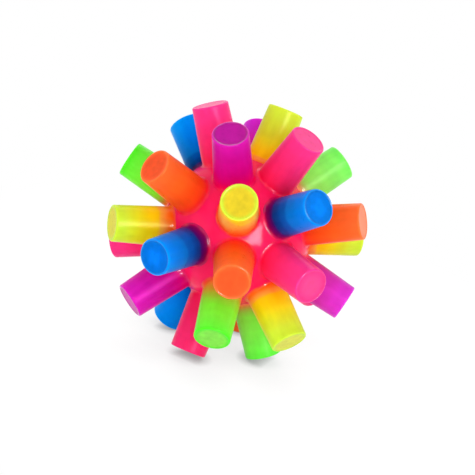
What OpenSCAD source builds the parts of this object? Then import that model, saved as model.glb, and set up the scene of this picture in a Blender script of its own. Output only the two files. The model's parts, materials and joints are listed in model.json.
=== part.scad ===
// Sensory ball: a soft round core that carries thirty-two round fingers.
// Lengths are in millimetres. The origin is the ball's centre, +Z is up, and the
// +X axis runs out through one of the two end fingers. The ball lies on four tips.

/* [Ball] */
// Distance across the tips of two opposite fingers
ball_d = 100; // [94:1:120]
// Diameter of the core between the fingers
core_d = 57; // [56:0.5:60]

/* [Fingers] */
// Diameter of a finger at its flat tip
tip_d = 14; // [10:0.2:14.4]
// Diameter of a finger at its root
root_d = 15.2; // [14.4:0.1:15.4]
// Radius of the rounded edge round a tip
tip_edge_r = 0.6; // [0.3:0.1:2]

/* [Seats] */
// Height of a finger's bending point above the core's surface
bend_rise = 1.3; // [1:0.1:2]
// Gap between a finger's round root and its seat in the core
seat_gap = 0.3; // [0.2:0.05:0.4]

/* [Hidden] */
$fn = 96;

// Rings of fingers from the left end to the right end.
// Each has a name, a latitude from the middle plane, a count and its first turn.
// A turn is counted from the top, over the front, round the X axis.
// The rings lie as far apart as the neighbours of a belt are turned apart.
belt_count = 10;
cap_count = 5;
ring_step = 360 / belt_count;
half_step = ring_step / 2;
RINGS = [
    ["left_end", -90, 1, 0],
    ["left_cap", -half_step - ring_step, cap_count, half_step],
    ["left_belt", -half_step, belt_count, half_step],
    ["right_belt", half_step, belt_count, half_step],
    ["right_cap", half_step + ring_step, cap_count, half_step + ring_step],
    ["right_end", 90, 1, 0]
];

// Colours of the fingers of each ring, in the order of their turns
PAINTS = [
    ["yellow"],
    ["orange", "blue", "purple", "pink", "green"],
    ["purple", "yellow", "orange", "green", "pink", "blue", "green", "orange", "blue", "pink"],
    ["pink", "blue", "pink", "yellow", "green", "orange", "purple", "blue", "purple", "yellow"],
    ["orange", "purple", "pink", "yellow", "green"],
    ["yellow"]
];

// Every finger as [ring, place in the ring]
FINGERS = [for (ring = [0 : len(RINGS) - 1]) for (place = [0 : RINGS[ring][2] - 1]) [ring, place]];

core_r = core_d / 2;
tip_r = tip_d / 2;
root_r = root_d / 2;
seat_r = root_r + seat_gap;

// Half the way between neighbouring roots of a belt, as a share of their distance from the centre
belt_share = cos(half_step) * sin(half_step);

// The bending points lie above the core, and so far out that the seats of a belt clear each other
bend_z = max(core_r + bend_rise, seat_r / belt_share);
shaft_l = ball_d / 2 - bend_z;

function ring_of(finger) = RINGS[finger[0]];

function finger_latitude(finger) = ring_of(finger)[1];

function finger_turn(finger) = ring_of(finger)[3] + finger[1] * 360 / ring_of(finger)[2];

// A ring of one has no number in its finger's name
function finger_name(finger) =
    ring_of(finger)[2] == 1
    ? str(ring_of(finger)[0], "_finger")
    : str(ring_of(finger)[0], "_finger_", finger[1] + 1);

function finger_colour(finger) = PAINTS[finger[0]][finger[1]];

function paint(colour) =
    colour == "yellow" ? [0.88, 0.86, 0.16]
    : colour == "orange" ? [0.98, 0.38, 0.12]
    : colour == "green" ? [0.35, 0.92, 0.18]
    : colour == "blue" ? [0.02, 0.42, 0.92]
    : colour == "purple" ? [0.76, 0.08, 0.68]
    : [1.0, 0.13, 0.42];

// Turns a shape that points up so that it points out along one finger
module aim(finger) {
    rotate([finger_turn(finger), 0, 0])
        rotate([0, finger_latitude(finger), 0])
            children();
}

// Half outline of the shaft, from the bending point out to the tip
module shaft_outline() {
    polygon([
        [0, 0],
        [root_r, 0],
        [tip_r, shaft_l - tip_edge_r],
        [tip_r - tip_edge_r, shaft_l],
        [0, shaft_l]
    ]);
    translate([tip_r - tip_edge_r, shaft_l - tip_edge_r])
        circle(r = tip_edge_r);
}

// A tapered round shaft with a rounded tip edge, on a ball-shaped root
module finger(finger) {
    color(paint(finger_colour(finger)))
        aim(finger)
            translate([0, 0, bend_z]) {
                sphere(r = root_r);
                rotate_extrude()
                    shaft_outline();
            }
}

// Half outline of the core, which already holds the seats of the two end fingers
module core_outline() {
    difference() {
        intersection() {
            circle(r = core_r);
            translate([0, -core_r])
                square([core_r, core_d]);
        }
        for (side = [-1, 1])
            translate([0, side * bend_z])
                circle(r = seat_r);
    }
}

// The core is a turned ball with a round seat under each finger of the rings
module core() {
    color(paint("pink"))
        difference() {
            rotate([0, 90, 0])
                rotate_extrude()
                    core_outline();
            for (finger = FINGERS)
                if (ring_of(finger)[2] > 1)
                    aim(finger)
                        translate([0, 0, bend_z])
                            sphere(r = seat_r);
        }
}

core();
for (f = FINGERS) finger(f);
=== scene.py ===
"""A soft sensory ball: thirty-two round elastomer fingers on a round core, dressed for rendering."""

import json
import math

import bmesh
import bpy
import numpy as np
from mathutils import Matrix, Vector


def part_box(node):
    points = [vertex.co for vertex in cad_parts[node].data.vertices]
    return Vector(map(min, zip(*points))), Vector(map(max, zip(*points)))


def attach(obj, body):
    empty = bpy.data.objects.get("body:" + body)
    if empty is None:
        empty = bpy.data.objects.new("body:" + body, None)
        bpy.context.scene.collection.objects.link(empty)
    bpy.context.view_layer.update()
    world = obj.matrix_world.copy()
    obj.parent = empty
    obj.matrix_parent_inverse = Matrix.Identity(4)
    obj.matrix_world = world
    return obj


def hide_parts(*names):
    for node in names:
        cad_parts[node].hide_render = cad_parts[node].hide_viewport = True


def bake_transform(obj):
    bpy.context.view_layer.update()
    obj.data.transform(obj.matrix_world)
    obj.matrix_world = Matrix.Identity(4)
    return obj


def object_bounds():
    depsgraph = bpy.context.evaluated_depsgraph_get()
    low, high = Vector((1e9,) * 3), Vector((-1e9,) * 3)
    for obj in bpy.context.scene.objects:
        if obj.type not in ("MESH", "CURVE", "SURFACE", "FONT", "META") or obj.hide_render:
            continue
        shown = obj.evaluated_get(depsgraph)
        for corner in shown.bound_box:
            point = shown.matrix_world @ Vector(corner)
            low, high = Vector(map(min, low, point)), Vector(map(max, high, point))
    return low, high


MM = 0.001

# A finger's flat tip, in millimetres: its radius, its rounded edge and the shallow recess inside the edge
TIP_R = 7.0
TIP_EDGE_R = 0.6
LIP_W = 0.35
DISC_DEPTH = 0.12
DISC_DISH = 0.06
TOP_R = TIP_R - TIP_EDGE_R

# The fillet at a finger's foot, in millimetres, and the hidden outline below it from the middle out,
# as (share of the foot's radius, millimetres below the foot)
FILLET_R = 1.3
HIDDEN_OUTLINE = ((0.0, 3.0), (0.6, 3.0), (0.97, 1.5), (1.0, 0.25))

# Points on each stretch of a finger's half outline, and round the finger
FILLET_POINTS = 9
SHAFT_POINTS = 30
TIP_EDGE_POINTS = 7
LIP_POINTS = 6
DISC_POINTS = 8
SEGMENTS = 96

CORE_SUBDIVISIONS = 6

# The photograph's camera. Its frame, its focal length and the place of the ball's centre are in
# pixels, its distance and clipping in metres and its angles in degrees.
PHOTO_PX = 475
FOCAL_PX = 2339.5
BALL_PX = (236.93, 230.65)
SENSOR_MM = 36.0
CAMERA_DISTANCE = 0.9
CAMERA_CLIP = (0.05, 20.0)
CAMERA_AZIMUTH = -20.26
CAMERA_ELEVATION = 22.26
CAMERA_ROLL = 11.41

# Colours of a finger from its foot to its tip, as (share of the way, red, green, blue).
# The pink of the core shows through a finger's root, so its first colours are mixed with pink; that mix
# also holds painted pink light, bounced from the core onto the roots.
CORE_PINK = (251, 6, 77)
PALETTE = {
    "yellow": (
        (0.00, *CORE_PINK),
        (0.015, 252, 66, 34),
        (0.04, 252, 104, 16),
        (0.08, 252, 130, 28),
        (0.13, 253, 162, 64),
        (0.18, 254, 184, 66),
        (0.22, 253, 212, 10),
        (0.36, 244, 220, 14),
        (0.56, 226, 230, 36),
        (0.80, 206, 232, 60),
        (1.00, 196, 232, 54),
    ),
    "green": (
        (0.00, *CORE_PINK),
        (0.02, 250, 76, 40),
        (0.06, 242, 130, 46),
        (0.12, 200, 162, 44),
        (0.17, 166, 196, 48),
        (0.24, 144, 226, 52),
        (0.34, 130, 244, 50),
        (0.60, 124, 244, 60),
        (0.86, 108, 246, 58),
        (1.00, 76, 240, 30),
    ),
    "blue": (
        (0.00, *CORE_PINK),
        (0.025, 190, 0, 84),
        (0.06, 124, 0, 92),
        (0.13, 92, 2, 104),
        (0.18, 66, 10, 116),
        (0.22, 6, 54, 144),
        (0.31, 0, 70, 164),
        (0.36, 0, 84, 184),
        (0.46, 0, 94, 196),
        (0.51, 0, 116, 216),
        (0.72, 0, 126, 234),
        (1.00, 0, 148, 255),
    ),
    "purple": (
        (0.00, *CORE_PINK),
        (0.06, 224, 0, 114),
        (0.16, 206, 2, 136),
        (0.30, 200, 10, 150),
        (0.50, 208, 26, 176),
        (0.75, 214, 34, 200),
        (1.00, 212, 34, 206),
    ),
    "orange": (
        (0.00, *CORE_PINK),
        (0.03, 252, 30, 58),
        (0.08, 252, 52, 40),
        (0.15, 252, 72, 26),
        (0.28, 252, 84, 22),
        (0.60, 252, 99, 30),
        (1.00, 252, 108, 48),
    ),
    "pink": (
        (0.00, *CORE_PINK),
        (0.12, 252, 34, 96),
        (0.40, 250, 44, 116),
        (0.75, 248, 52, 132),
        (1.00, 246, 54, 138),
    ),
}

# The middle of the disc at a finger's tip, by colour and for a finger that differs
DISCS = {
    "yellow": (208, 214, 62),
    "green": (128, 224, 76),
    "blue": (0, 132, 244),
    "purple": (190, 18, 154),
    "orange": (244, 92, 42),
    "pink": (248, 74, 144),
    "left_end_finger": (216, 206, 24),
    "left_cap_finger_1": (236, 82, 36),
    "left_cap_finger_2": (0, 122, 232),
    "left_belt_finger_2": (220, 198, 42),
    "right_cap_finger_1": (244, 128, 84),
}

# The millimetres over which the disc's edge turns into its middle, by colour and for a finger that differs
DISC_FADES = {
    "yellow": 1.4,
    "green": 1.4,
    "blue": 0.7,
    "purple": 0.7,
    "orange": 1.4,
    "pink": 1.2,
    "right_belt_finger_3": 3.2,
}

# How much darker the ring round the disc's middle is, and the painted shade in the crease round the whole
# disc, where the lip drops to the disc
DISC_RINGS = {"yellow": 0.0, "green": 0.0, "blue": 0.22, "purple": 0.08, "orange": 0.0, "pink": 0.0}
CREASE_SHADES = {"yellow": 0.1, "green": 0.12, "blue": 0.25, "purple": 0.3, "orange": 0.0, "pink": 0.05}

# What the gloss is tinted with
GLOSSES = {
    "yellow": (255, 250, 160),
    "green": (210, 255, 180),
    "blue": (30, 190, 255),
    "purple": (255, 90, 220),
    "orange": (255, 180, 140),
    "pink": (255, 140, 190),
}

# Fingers whose colours run differently: how many times slower they change at the root than in the
# palette, and the share of the palette that is reached at the tip
COLOUR_RUNS = {
    "left_end_finger": (1.55, 1.0),
    "left_cap_finger_2": (1.1, 0.88),
    "left_cap_finger_3": (1.0, 0.52),
    "left_belt_finger_1": (2.4, 0.42),
    "left_belt_finger_2": (1.9, 0.22),
    "left_belt_finger_4": (2.15, 1.0),
    "left_belt_finger_5": (1.0, 0.4),
    # This blue reaches its brightest early: painted light, as if lit through
    "left_belt_finger_6": (0.12, 1.0),
    "left_belt_finger_9": (0.45, 1.0),
    "right_belt_finger_2": (1.0, 0.85),
    "right_belt_finger_4": (1.0, 1.0),
    "right_belt_finger_5": (0.7, 1.0),
    "right_belt_finger_10": (0.42, 0.86),
    "right_cap_finger_5": (0.7, 1.0),
}

# The other fingers' slowness sways about one by this much, at this step in radians from one to the next
RUN_SWAY = 0.15
RUN_SWAY_STEP = 2.4

# The share of the palette that is reached on the edge of a tip, where it differs from the shaft
EDGE_SHARES = {"left_belt_finger_2": 0.8}

# How much paler than the others some fingers are: painted light, standing in for light that comes through
# these fingers
PAINTED_LIGHT_PALENESS = {"right_cap_finger_5": 0.1, "right_belt_finger_5": 0.04, "right_cap_finger_2": 0.02}

# How much clear coat lies on a tip's lip, and on the fillet at a finger's foot
LIP_COATS = {"yellow": 0.15, "green": 0.4, "blue": 0.35, "purple": 1.0, "orange": 0.25, "pink": 0.4}
FILLET_COAT = 0.3
COAT_ROUGHNESS = 0.14

# How far down from a tip's top the disc's looks reach, and the height over which the looks of the
# rounded edge start, in millimetres
TOP_DEPTH = 0.3
EDGE_START = 0.18

# The distances in millimetres at which a look starts and at which it is full: the painted shade of the
# crease from the lip's middle, the dark ring inward from the top's edge, the lip's coat from that edge, and
# the fillet's coat up from the core
CREASE_SHADE_SPAN = (0.525, 0.175)
RING_OUTER_SPAN = (0.0, 0.8)
RING_INNER_SPAN = (4.6, 2.0)
LIP_COAT_SPAN = (0.392, 0.147)
FILLET_COAT_SPAN = (0.6, 0.0)

# How rough and how shiny the elastomer is, and what its pieces share
FINGER_FINISH = {"roughness": 0.3, "shine": 0.11}
CORE_FINISH = {"roughness": 0.12, "shine": 0.12}
ELASTOMER = {"Subsurface Weight": 0.6, "Subsurface Radius": (1.0, 0.8, 0.7), "IOR": 1.45}

# How many millimetres light sinks in. It is less in a finger's foot, where little comes from the hidden
# part, and reaches the finger's own depth at this height above the core.
FINGER_LIGHT_DEPTH = 5.0
FOOT_LIGHT_DEPTH = 0.8
CORE_LIGHT_DEPTH = 1.2
LIGHT_DEPTH_RISE = 5.0

# The core's lighter pink, partly its own uneven tone and partly a painted pale sheen, and what its gloss is
# tinted with
CORE_PALE_AND_SHEEN = (252, 34, 106)
CORE_GLOSS = (255, 210, 236)

# What makes the elastomer uneven, each as (spread of the level, scale, detail) of a noise. Streaks run
# along a finger and bands round it.
COLOUR_DRIFT = (0.08, 0.18, 1.0)
DISC_MOTTLE = (0.26, 0.4, 2.0)
STREAKS = (0.16, 1.0, 1.0)
BANDS = (0.24, 4.5, 1.0)
BANDS_LEVEL = 1.01
CLOUDS = (0.1, 0.4, 3.0)
ROUGH_SPOTS = (0.14, 0.8, 3.0)

# The noises of the core's two pinks and of the skin, as (scale, detail), and how far the skin stands out
CORE_CLOUDS = (0.12, 2.0)
SKIN_GRAIN = (1.6, 3.0)
SKIN_BUMP = {"Strength": 0.1, "Distance": 0.2 * MM}

# The streaks' scale across and along a finger, and how far apart two fingers lie in both noises
STREAK_SCALES = (0.5, 0.12)
STREAKS_STEP = 11.0
BANDS_STEP = 3.1

# The floor: its half width in metres, the grey and the glow that light the ball, and the grey and the
# level that show where it is seen directly
FLOOR_REACH = 3.0
FLOOR_GREY = 0.88
FLOOR_GLOW = 0.18
SEEN_GREY = 0.07
SEEN_LEVEL = 0.96

# The floor's soft shadows as (reach in metres, darkest level), and the distances in metres from the
# middle between which the shadow fades into plain white
SOFT_SHADOWS = ((0.004, 0.35), (0.02, 0.66))
SHADOW_SAMPLES = 16
SHADOW_FADE = (0.08, 0.16)

# How strongly the world lights the ball, where one is white
WORLD_STRENGTH = 0.68

# Lamps as ((azimuth, elevation, distance), (width, height), watts), in degrees and metres
LAMPS = {
    "front_fill": ((-24, 0, 1.3), (1.0, 0.8), 5.1),
    "front_softbox": ((10, 20, 1.0), (0.4, 0.46), 2.0),
    "left_softbox": ((-80, 6, 1.2), (0.8, 0.5), 1.9),
    "right_softbox": ((80, 25, 1.1), (0.4, 0.7), 1.6),
    "back_softbox": ((165, 30, 1.3), (0.9, 0.6), 3.4),
    "top_softbox": ((-60, 72, 1.3), (0.9, 0.9), 2.4),
    "gloss_card": ((9, 20, 1.0), (0.38, 0.58), 34.0),
}

# The lamp that shows in the gloss alone
GLOSS_LAMP = "gloss_card"


def linear(rgb):
    """A colour written as three numbers up to 255, as Blender's own linear colour."""
    shares = [c / 255 for c in rgb]
    return [s / 12.92 if s <= 0.04045 else ((s + 0.055) / 1.055) ** 2.4 for s in shares] + [1.0]


def ramped(values, start, full):
    """Nought where a value is at the start or before it, one from full on, and a straight run between."""
    return np.clip((values - start) / (full - start), 0, 1)


def arc(centre, radius, start, end, steps):
    """Points on an arc in the (radius, height) plane, angles in degrees."""
    angles = np.radians(np.linspace(start, end, steps))
    return [(centre[0] + radius * math.cos(a), centre[1] + radius * math.sin(a)) for a in angles]


def finger_profile(sizes):
    """A finger's half outline, from under the core's skin up its fillet and shaft and over its disc."""
    reach, rise = sizes["root_r"] + FILLET_R, sizes["core_r"] + FILLET_R
    fillet_h = math.sqrt(rise**2 - reach**2)
    touch = math.degrees(math.atan2(-fillet_h, -reach))
    foot_r = reach * sizes["core_r"] / rise
    foot_h = fillet_h * sizes["core_r"] / rise
    points = [(foot_r * share, foot_h - depth) for share, depth in HIDDEN_OUTLINE]
    points += arc((reach, fillet_h), FILLET_R, 360 + touch, 180, FILLET_POINTS)
    shaft_end = sizes["ball_r"] - TIP_EDGE_R
    for share in np.linspace(0, 1, SHAFT_POINTS)[:-1]:
        width = sizes["root_r"] + (TIP_R - sizes["root_r"]) * share
        points.append((width, sizes["bend_h"] + (shaft_end - sizes["bend_h"]) * share))
    points += arc((TOP_R, shaft_end), TIP_EDGE_R, 0, 90, TIP_EDGE_POINTS)
    disc_r = TOP_R - LIP_W
    for share in np.linspace(0, 1, LIP_POINTS)[1:]:
        drop = DISC_DEPTH * (1 - math.cos(math.pi * share)) / 2
        points.append((disc_r + LIP_W * (1 - share), sizes["ball_r"] - drop))
    for share in np.linspace(0, 1, DISC_POINTS)[1:]:
        drop = DISC_DEPTH + DISC_DISH * (1 - (1 - share) ** 2)
        points.append((disc_r * (1 - share), sizes["ball_r"] - drop))
    return points


def revolved(name, points, axis):
    """A closed mesh: points (radius, height) turned round an axis from the centre. Both ends lie on it."""
    side = axis.orthogonal().normalized()
    other = axis.cross(side)
    verts = [axis * points[0][1] * MM]
    for radius, height in points[1:-1]:
        for step in range(SEGMENTS):
            turn = 2 * math.pi * step / SEGMENTS
            outward = side * math.cos(turn) + other * math.sin(turn)
            verts.append((axis * height + outward * radius) * MM)
    verts.append(axis * points[-1][1] * MM)
    last = len(verts) - 1
    top = last - SEGMENTS
    faces = []
    for step in range(SEGMENTS):
        after = (step + 1) % SEGMENTS
        faces.append((0, 1 + after, 1 + step))
        for low in range(1, top, SEGMENTS):
            high = low + SEGMENTS
            faces.append((low + step, low + after, high + after, high + step))
        faces.append((top + step, top + after, last))
    mesh = bpy.data.meshes.new(name)
    mesh.from_pydata(verts, [], faces)
    mesh.shade_smooth()
    return placed(name, mesh)


def placed(name, data):
    """A new object with that data, in the scene."""
    piece = bpy.data.objects.new(name, data)
    bpy.context.scene.collection.objects.link(piece)
    return piece


def store(mesh, looks):
    """Keeps numbers or vectors at the mesh's vertices, by name, for the material to read."""
    for name, values in looks.items():
        kind, field = ("FLOAT", "value") if values.ndim == 1 else ("FLOAT_VECTOR", "vector")
        layer = mesh.attributes.new(name, kind, "POINT")
        layer.data.foreach_set(field, values.astype(np.float32).ravel())


def vertex_places(mesh):
    """The vertices' places in millimetres, one row each."""
    places = np.zeros(len(mesh.vertices) * 3)
    mesh.vertices.foreach_get("co", places)
    return places.reshape(-1, 3) / MM


class Nodes:
    """The node tree of a material or world, with short calls to add and join nodes."""

    def __init__(self, owner):
        self.owner = owner
        self.owner.use_nodes = True
        self.tree = owner.node_tree

    def inputs(self, name):
        """The inputs of a node that is in the tree."""
        return self.tree.nodes[name].inputs

    def add(self, kind, inputs=None, **settings):
        node = self.tree.nodes.new(kind)
        for key, value in settings.items():
            setattr(node, key, value)
        for key, value in (inputs or {}).items():
            self.put(node.inputs[key], value)
        return node

    def put(self, socket, value):
        if isinstance(value, bpy.types.NodeSocket):
            self.tree.links.new(value, socket)
        else:
            socket.default_value = value

    def attribute(self, name, output="Fac"):
        return self.add("ShaderNodeAttribute", attribute_name=name).outputs[output]

    def maths(self, operation, *values):
        node = self.add("ShaderNodeMath", operation=operation)
        for socket, value in zip(node.inputs, values):
            self.put(socket, value)
        return node.outputs[0]

    def noise(self, scale, detail, attribute="rest_place"):
        place = self.attribute(attribute, "Vector")
        node = self.add("ShaderNodeTexNoise", {"Vector": place, "Scale": scale, "Detail": detail})
        return node.outputs["Fac"]

    def varied(self, middle, spread, scale, detail, attribute="rest_place"):
        """A level that noise moves about a middle value."""
        noise = self.noise(scale, detail, attribute)
        return self.maths("MULTIPLY_ADD", noise, spread, middle - spread / 2)

    def mix(self, share, first, second, blend="MIX"):
        """Two colours mixed. Their sockets have numbers here, because others share their names."""
        node = self.add("ShaderNodeMix", data_type="RGBA", blend_type=blend)
        self.put(node.inputs["Factor"], share)
        self.put(node.inputs[6], first)
        self.put(node.inputs[7], second)
        return node.outputs[2]

    def shaded(self, colour, level):
        """A colour times a grey level."""
        grey = self.add("ShaderNodeCombineColor", {"Red": level, "Green": level, "Blue": level})
        return self.mix(1.0, colour, grey.outputs[0], "MULTIPLY")

    def ramp(self, share, stops):
        node = self.add("ShaderNodeValToRGB", {"Fac": share})
        elements = node.color_ramp.elements
        while len(elements) < len(stops):
            elements.new(0.5)
        for element, (place, *rgb) in zip(elements, stops):
            element.position = place
            element.color = linear(rgb)
        return node.outputs["Color"]

    def map_range(self, value, **ends):
        """A number moved from one range to another. The ends that aren't given are nought and one."""
        sockets = {key.replace("_", " ").title(): end for key, end in ends.items()}
        return self.add("ShaderNodeMapRange", {"Value": value, **sockets}).outputs[0]

    def matt(self, grey):
        return self.add("ShaderNodeBsdfDiffuse", {"Color": (grey, grey, grey, 1)}).outputs[0]

    def glow(self, strength):
        return self.add("ShaderNodeEmission", {"Strength": strength}).outputs[0]

    def both(self, first, second):
        """Two shaders added up."""
        return self.add("ShaderNodeAddShader", {0: first, 1: second}).outputs[0]

    def either(self, share, first, second):
        """Two shaders mixed, where a share of one is all of the second."""
        return self.add("ShaderNodeMixShader", {0: share, 1: first, 2: second}).outputs[0]

    def seen_directly(self):
        """One for a camera ray or one that mirrors or passes on the background, and else nought."""
        path = self.add("ShaderNodeLightPath").outputs
        mirrored = self.maths("MAXIMUM", path["Is Glossy Ray"], path["Is Transmission Ray"])
        return self.maths("MAXIMUM", path["Is Camera Ray"], mirrored)


def soft_finish(nodes, colour, gloss, finish, light_depth):
    """The elastomer's own finish: a waxy gloss with a fine uneven skin, and light that sinks in."""
    shader = nodes.inputs("Principled BSDF")
    for socket, value in ELASTOMER.items():
        shader[socket].default_value = value
    shader["Specular IOR Level"].default_value = finish["shine"]
    shader["Specular Tint"].default_value = linear(gloss)
    nodes.put(shader["Base Color"], nodes.shaded(colour, nodes.varied(1.0, *CLOUDS)))
    nodes.put(shader["Roughness"], nodes.varied(finish["roughness"], *ROUGH_SPOTS))
    nodes.put(shader["Subsurface Scale"], light_depth)
    skin = {"Height": nodes.noise(*SKIN_GRAIN), **SKIN_BUMP}
    nodes.put(shader["Normal"], nodes.add("ShaderNodeBump", skin).outputs[0])
    return nodes.owner


def finger_material(colour):
    """A finger's colours, from its foot to its disc, and its clear coat."""
    nodes = Nodes(bpy.data.materials.new(f"{colour}_elastomer"))
    along = nodes.maths("ADD", nodes.attribute("along"), nodes.varied(0.0, *COLOUR_DRIFT))
    body = nodes.ramp(along, PALETTE[colour])
    # Painted light: some fingers are mixed towards white, as if lit through
    painted_light_mixed = nodes.mix(nodes.attribute("painted_light"), body, (1, 1, 1, 1))
    disc = nodes.attribute("disc")
    faced = nodes.mix(disc, painted_light_mixed, nodes.attribute("disc_colour", "Vector"))
    mottled = nodes.mix(disc, faced, nodes.shaded(faced, nodes.varied(1.0, *DISC_MOTTLE)))
    streaked = nodes.shaded(mottled, nodes.varied(1.0, *STREAKS, "flow"))
    banded = nodes.shaded(streaked, nodes.varied(BANDS_LEVEL, *BANDS, "bands"))
    # Painted shade: the crease round each disc is darkened, and the ring round its middle is darker too
    crease_shaded = nodes.shaded(banded, nodes.attribute("crease_shade"))
    shader = nodes.inputs("Principled BSDF")
    nodes.put(shader["Coat Weight"], nodes.attribute("coat"))
    shader["Coat Roughness"].default_value = COAT_ROUGHNESS
    light_depth = nodes.attribute("light_depth")
    return soft_finish(nodes, crease_shaded, GLOSSES[colour], FINGER_FINISH, light_depth)


def core_material():
    nodes = Nodes(bpy.data.materials.new("core_elastomer"))
    # The lighter pink patches are partly the core's uneven tone and partly painted sheen
    body = nodes.mix(nodes.noise(*CORE_CLOUDS), linear(CORE_PINK), linear(CORE_PALE_AND_SHEEN))
    return soft_finish(nodes, body, CORE_GLOSS, CORE_FINISH, CORE_LIGHT_DEPTH * MM)


def finger_looks(name, colour, places, axis, sizes, number):
    """What a finger's material reads at each vertex, by name. The finger's number varies it."""
    count = len(places)
    height = places @ axis
    beside = places - np.outer(height, axis)
    inward = TOP_R - np.linalg.norm(beside, axis=1)
    ball_r = sizes["ball_r"]
    rise = height - sizes["core_r"]
    # The colours start where the hidden outline ends
    foot = finger_profile(sizes)[len(HIDDEN_OUTLINE) - 1][1]
    share = ramped(height, foot, ball_r)
    slowness, reached = COLOUR_RUNS.get(name, (1 + RUN_SWAY * math.sin(number * RUN_SWAY_STEP), 1.0))
    along = share / (slowness + (1 / reached - slowness) * share)
    on_edge = ramped(height, ball_r - TIP_EDGE_R, ball_r - TIP_EDGE_R + EDGE_START)
    on_top = height > ball_r - TOP_DEPTH
    fade = DISC_FADES.get(name, DISC_FADES[colour])
    middle = linear(DISCS.get(name, DISCS[colour]))[:3]
    # Painted shade in the crease where the lip drops to the disc
    crease_shade = ramped(np.abs(inward - LIP_W / 2), *CREASE_SHADE_SPAN) * CREASE_SHADES[colour]
    ring = ramped(inward, *RING_OUTER_SPAN) * ramped(inward, *RING_INNER_SPAN) * DISC_RINGS[colour]
    lip_coat = on_edge * ramped(np.abs(inward), *LIP_COAT_SPAN) * LIP_COATS[colour]
    fillet_coat = ramped(rise, *FILLET_COAT_SPAN) * FILLET_COAT
    light_depth = np.interp(rise, (0.0, LIGHT_DEPTH_RISE), (FOOT_LIGHT_DEPTH, FINGER_LIGHT_DEPTH))
    across, lengthwise = STREAK_SCALES
    return {
        "along": np.maximum(along, on_edge * EDGE_SHARES.get(name, 0.0)),
        "disc": on_top * ramped(inward, 0.0, fade),
        "disc_colour": np.tile(middle, (count, 1)),
        "crease_shade": 1 - on_top * (crease_shade + ring),
        "coat": np.maximum(lip_coat, fillet_coat),
        "painted_light": np.full(count, PAINTED_LIGHT_PALENESS.get(name, 0.0)),
        "light_depth": light_depth * MM,
        "rest_place": places,
        "flow": beside * across + np.outer(height * lengthwise, axis) + number * STREAKS_STEP,
        "bands": np.column_stack([share, np.full(count, number * BANDS_STEP), np.zeros(count)]),
    }


def make_finger(joint, materials, slots, sizes, number):
    """One finger's skin, turned round its axis from under the core's skin to its tip."""
    name = joint["child"]
    colour = slots[name]
    axis = Vector(joint["pos_m"]).normalized()
    piece = revolved(f"{name}_skin", finger_profile(sizes), axis)
    places = vertex_places(piece.data)
    store(piece.data, finger_looks(name, colour, places, np.array(axis), sizes, number))
    piece.data.materials.append(materials[colour])
    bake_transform(piece)
    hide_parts(name)


def make_core(radius):
    mesh = bpy.data.meshes.new("core_skin")
    ball = bmesh.new()
    bmesh.ops.create_icosphere(ball, subdivisions=CORE_SUBDIVISIONS, radius=radius * MM)
    ball.to_mesh(mesh)
    ball.free()
    mesh.shade_smooth()
    piece = placed("core_skin", mesh)
    store(mesh, {"rest_place": vertex_places(mesh)})
    mesh.materials.append(core_material())
    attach(piece, "core")
    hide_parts("core")


def floor_material():
    """White that lights the ball from below. Seen directly, it has a light shadow that fades into white."""
    nodes = Nodes(bpy.data.materials.new("floor_white"))
    plain = nodes.both(nodes.matt(FLOOR_GREY), nodes.glow(FLOOR_GLOW))
    level = SEEN_LEVEL
    for distance, darkest in SOFT_SHADOWS:
        near = nodes.add("ShaderNodeAmbientOcclusion", {"Distance": distance}, samples=SHADOW_SAMPLES)
        shade = nodes.maths("MULTIPLY_ADD", near.outputs["AO"], 1 - darkest, darkest)
        level = nodes.maths("MULTIPLY", level, shade)
    shadowed = nodes.both(nodes.matt(SEEN_GREY), nodes.glow(level))
    place = nodes.add("ShaderNodeTexCoord").outputs["Object"]
    length = nodes.add("ShaderNodeVectorMath", {0: place}, operation="LENGTH").outputs["Value"]
    fade = nodes.map_range(length, from_min=SHADOW_FADE[0], from_max=SHADOW_FADE[1])
    seen = nodes.either(fade, shadowed, nodes.glow(1.0))
    surface = nodes.either(nodes.seen_directly(), plain, seen)
    nodes.put(nodes.inputs("Material Output")["Surface"], surface)
    nodes.tree.nodes.remove(nodes.tree.nodes["Principled BSDF"])
    return nodes.owner


def make_floor(height):
    mesh = bpy.data.meshes.new("floor")
    sides = ((-1, -1), (1, -1), (1, 1), (-1, 1))
    corners = [(x * FLOOR_REACH, y * FLOOR_REACH, height) for x, y in sides]
    mesh.from_pydata(corners, [], [(0, 1, 2, 3)])
    mesh.materials.append(floor_material())
    placed("floor", mesh)


def make_world():
    """An even studio: plain white where it is seen, and less strong where it lights the ball."""
    world = bpy.data.worlds.new("studio")
    bpy.context.scene.world = world
    nodes = Nodes(world)
    background = nodes.inputs("Background")
    background["Color"].default_value = (1, 1, 1, 1)
    strength = nodes.map_range(nodes.seen_directly(), to_min=WORLD_STRENGTH)
    nodes.put(background["Strength"], strength)


def towards(azimuth, elevation, distance):
    """A place round the ball. Azimuth 0 is in front and 90 on the right; angles in degrees."""
    a, e = math.radians(azimuth), math.radians(elevation)
    return Vector((math.sin(a) * math.cos(e), -math.cos(a) * math.cos(e), math.sin(e))) * distance


def make_lamp(name, place, size, watts):
    """An area lamp that points at the ball's centre."""
    lamp = bpy.data.lights.new(name, "AREA")
    lamp.shape = "RECTANGLE"
    lamp.size, lamp.size_y = size
    lamp.energy = watts
    piece = placed(name, lamp)
    piece.location = place
    piece.rotation_mode = "QUATERNION"
    piece.rotation_quaternion = (-place).to_track_quat("-Z", "Y")
    piece.visible_diffuse = name != GLOSS_LAMP


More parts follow.
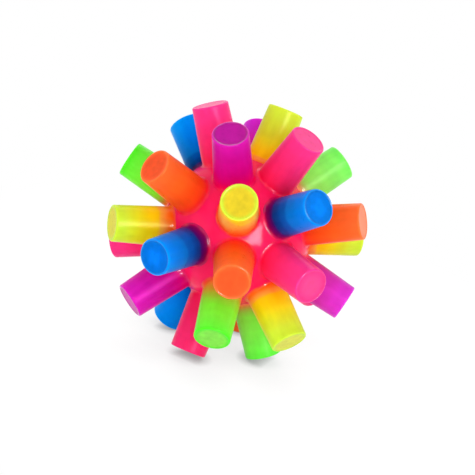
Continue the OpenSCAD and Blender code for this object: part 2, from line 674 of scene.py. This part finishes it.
def make_camera():
    data = bpy.data.cameras.new("camera")
    data.sensor_width = SENSOR_MM
    data.lens = SENSOR_MM * FOCAL_PX / PHOTO_PX
    data.clip_start, data.clip_end = CAMERA_CLIP
    piece = placed("camera", data)
    back = towards(CAMERA_AZIMUTH, CAMERA_ELEVATION, 1.0)
    level = Vector((0, 0, 1)).cross(back).normalized()
    right = Matrix.Rotation(math.radians(CAMERA_ROLL), 3, back) @ level
    up = back.cross(right)
    aside = (BALL_PX[0] - PHOTO_PX / 2) / FOCAL_PX * CAMERA_DISTANCE
    above = (PHOTO_PX / 2 - BALL_PX[1]) / FOCAL_PX * CAMERA_DISTANCE
    place = back * CAMERA_DISTANCE - right * aside - up * above
    turn = Matrix((right, up, back)).transposed().to_4x4()
    piece.matrix_world = Matrix.Translation(place) @ turn
    bpy.context.scene.camera = piece


def frame_sizes(hinges, ball_r):
    """The ball's main sizes in millimetres, from the frame. A finger is widest at its root."""
    return {
        "ball_r": ball_r / MM,
        "core_r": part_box("core")[1].z / MM,
        "root_r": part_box("right_end_finger")[1].y / MM,
        "bend_h": Vector(hinges[0]["pos_m"]).length / MM,
    }


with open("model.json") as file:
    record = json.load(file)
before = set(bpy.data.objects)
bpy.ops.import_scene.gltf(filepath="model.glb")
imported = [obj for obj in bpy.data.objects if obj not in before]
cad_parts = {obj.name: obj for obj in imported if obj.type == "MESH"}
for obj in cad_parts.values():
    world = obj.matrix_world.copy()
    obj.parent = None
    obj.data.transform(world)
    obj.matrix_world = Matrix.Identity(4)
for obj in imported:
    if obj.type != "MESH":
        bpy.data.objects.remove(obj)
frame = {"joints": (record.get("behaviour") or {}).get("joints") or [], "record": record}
cad_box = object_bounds()

make_camera()
ball_sizes = frame_sizes(frame["joints"], cad_box[1].x)
slot_of = {part["node"]: part["material_slot"] for part in frame["record"]["subparts"]}
finger_materials = {colour: finger_material(colour) for colour in PALETTE}
for finger_number, hinge in enumerate(frame["joints"]):
    make_finger(hinge, finger_materials, slot_of, ball_sizes, finger_number)
make_core(ball_sizes["core_r"])
make_floor(cad_box[0].z)
make_world()
for lamp_name, (spot, lamp_size, power) in LAMPS.items():
    make_lamp(lamp_name, towards(*spot), lamp_size, power)

bpy.context.scene.view_settings.view_transform = "Standard"
bpy.context.view_layer.update()
